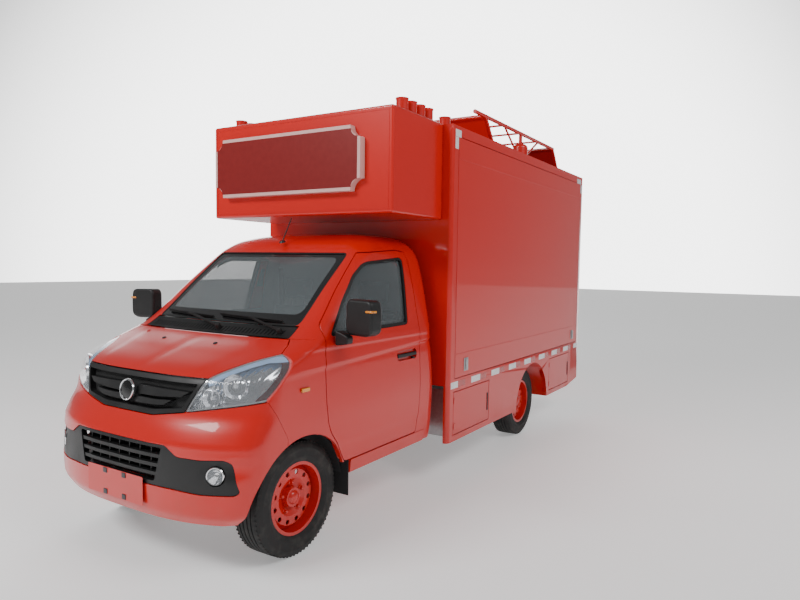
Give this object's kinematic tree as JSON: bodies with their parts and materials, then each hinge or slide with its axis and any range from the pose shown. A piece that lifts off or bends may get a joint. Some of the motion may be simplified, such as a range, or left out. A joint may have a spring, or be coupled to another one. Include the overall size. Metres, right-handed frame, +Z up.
{
  "type": "ice cream truck",
  "caption": "Small red cab-chassis sales truck with a hollow box body, side flaps, rear doors, under-floor lockers, a sign box over the cab and a roof frame.",
  "frame": {"origin": "on the ground under the middle of the truck's bounding box", "axes": "-Y forward, +X to the driver's (left) side, +Z up"},
  "size_m": [2.0098, 4.84, 2.737],
  "materials": {
    "paint": "gloss",
    "dark_paint": "satin",
    "chassis": "satin",
    "engine": "rough",
    "steel": "brushed",
    "black_plastic": "satin",
    "lamp": "clear",
    "tail_red": "gloss",
    "glass": "clear",
    "fabric": "woven",
    "tyre": "matte",
    "red_panel": "gloss"
  },
  "bodies": {
    "truck": {"frame_rails": "chassis", "crossmembers": "chassis", "engine_block": "engine", "driveshaft": "chassis", "exhaust": "steel", "fuel_tank": "chassis", "front_suspension": "chassis", "rear_axle": "chassis", "leaf_springs": "chassis", "wheel_liners": "black_plastic", "cab_floor": "paint", "cab_shell": "paint", "fenders": "paint", "front_bumper": "red_panel", "grilles": "black_plastic", "front_lamps": "lamp", "plate_panel": "red_panel", "cowl": "black_plastic", "windscreen": "glass", "dashboard": "black_plastic", "steering_wheel": "black_plastic", "seats": "fabric", "box_floor": "steel", "box_roof": "paint", "box_front_wall": "paint", "box_posts": "paint", "box_rails": "paint", "side_skirts": "paint", "lockers": "steel", "luton": "paint", "sign_board": "dark_paint", "roof_frame": "dark_paint", "lamp_pots": "paint", "tail_lamps": "tail_red", "rear_bumper": "chassis"},
    "hood": {"hood": "paint"},
    "door_left": {"door_left": "paint", "glass_left": "glass", "mirror_left": "black_plastic"},
    "door_right": {"door_right": "paint", "glass_right": "glass", "mirror_right": "black_plastic"},
    "flap_left": {"flap_left": "paint"},
    "flap_right": {"flap_right": "paint"},
    "rear_door_left": {"rear_door_left": "paint"},
    "rear_door_right": {"rear_door_right": "paint"},
    "locker_door_front_left": {"locker_door_front_left": "paint"},
    "locker_door_front_right": {"locker_door_front_right": "paint"},
    "locker_door_rear_left": {"locker_door_rear_left": "paint"},
    "locker_door_rear_right": {"locker_door_rear_right": "paint"},
    "knuckle_left": {"knuckle_left": "engine"},
    "knuckle_right": {"knuckle_right": "engine"},
    "wheel_front_left": {"rim_front_left": "paint", "tyre_front_left": "tyre"},
    "wheel_front_right": {"rim_front_right": "paint", "tyre_front_right": "tyre"},
    "wheel_rear_left": {"rim_rear_left": "paint", "tyre_rear_left": "tyre"},
    "wheel_rear_right": {"rim_rear_right": "paint", "tyre_rear_right": "tyre"}
  },
  "joints": [
    {"name": "steer_left", "type": "hinge", "parent": "truck", "child": "knuckle_left", "pos_m": [0.53, -1.84, 0.3], "axis": [0, 0, 1], "range_deg": [-30, 30]},
    {"name": "wheel_front_left_spin", "type": "hinge", "parent": "knuckle_left", "child": "wheel_front_left", "pos_m": [0.609, -1.84, 0.3], "axis": [1, 0, 0], "continuous": true},
    {"name": "wheel_rear_left_spin", "type": "hinge", "parent": "truck", "child": "wheel_rear_left", "pos_m": [0.66, 1.06, 0.3], "axis": [1, 0, 0], "continuous": true},
    {"name": "door_left_hinge", "type": "hinge", "parent": "truck", "child": "door_left", "pos_m": [0.772, -1.706, 0.9], "axis": [0, 0, -1], "range_deg": [0, 65]},
    {"name": "flap_left_hinge", "type": "hinge", "parent": "truck", "child": "flap_left", "pos_m": [0.842, 0.94, 2.394], "axis": [0, -1, 0], "range_deg": [0, 90]},
    {"name": "rear_door_left_hinge", "type": "hinge", "parent": "truck", "child": "rear_door_left", "pos_m": [0.79, 2.403, 1.56], "axis": [0, 0, -1], "range_deg": [0, 110]},
    {"name": "locker_door_front_left_hinge", "type": "hinge", "parent": "truck", "child": "locker_door_front_left", "pos_m": [0.842, -0.431, 0.488], "axis": [0, 0, -1], "range_deg": [0, 100]},
    {"name": "locker_door_rear_left_hinge", "type": "hinge", "parent": "truck", "child": "locker_door_rear_left", "pos_m": [0.842, 1.514, 0.488], "axis": [0, 0, -1], "range_deg": [0, 100]},
    {"name": "steer_right", "type": "hinge", "parent": "truck", "child": "knuckle_right", "pos_m": [-0.53, -1.84, 0.3], "axis": [0, 0, 1], "range_deg": [-30, 30]},
    {"name": "wheel_front_right_spin", "type": "hinge", "parent": "knuckle_right", "child": "wheel_front_right", "pos_m": [-0.609, -1.84, 0.3], "axis": [1, 0, 0], "continuous": true},
    {"name": "wheel_rear_right_spin", "type": "hinge", "parent": "truck", "child": "wheel_rear_right", "pos_m": [-0.66, 1.06, 0.3], "axis": [1, 0, 0], "continuous": true},
    {"name": "door_right_hinge", "type": "hinge", "parent": "truck", "child": "door_right", "pos_m": [-0.772, -1.706, 0.9], "axis": [0, 0, 1], "range_deg": [0, 65]},
    {"name": "flap_right_hinge", "type": "hinge", "parent": "truck", "child": "flap_right", "pos_m": [-0.842, 0.94, 2.394], "axis": [0, 1, 0], "range_deg": [0, 90]},
    {"name": "rear_door_right_hinge", "type": "hinge", "parent": "truck", "child": "rear_door_right", "pos_m": [-0.79, 2.403, 1.56], "axis": [0, 0, 1], "range_deg": [0, 110]},
    {"name": "locker_door_front_right_hinge", "type": "hinge", "parent": "truck", "child": "locker_door_front_right", "pos_m": [-0.842, -0.431, 0.488], "axis": [0, 0, 1], "range_deg": [0, 100]},
    {"name": "locker_door_rear_right_hinge", "type": "hinge", "parent": "truck", "child": "locker_door_rear_right", "pos_m": [-0.842, 1.514, 0.488], "axis": [0, 0, 1], "range_deg": [0, 100]},
    {"name": "hood_hinge", "type": "hinge", "parent": "truck", "child": "hood", "pos_m": [0, -1.856, 1.124], "axis": [-1, 0, 0], "range_deg": [0, 50]}
  ],
  "couplings": [
    {"joint": "steer_right", "follows": "steer_left", "ratio": 1}
  ]
}
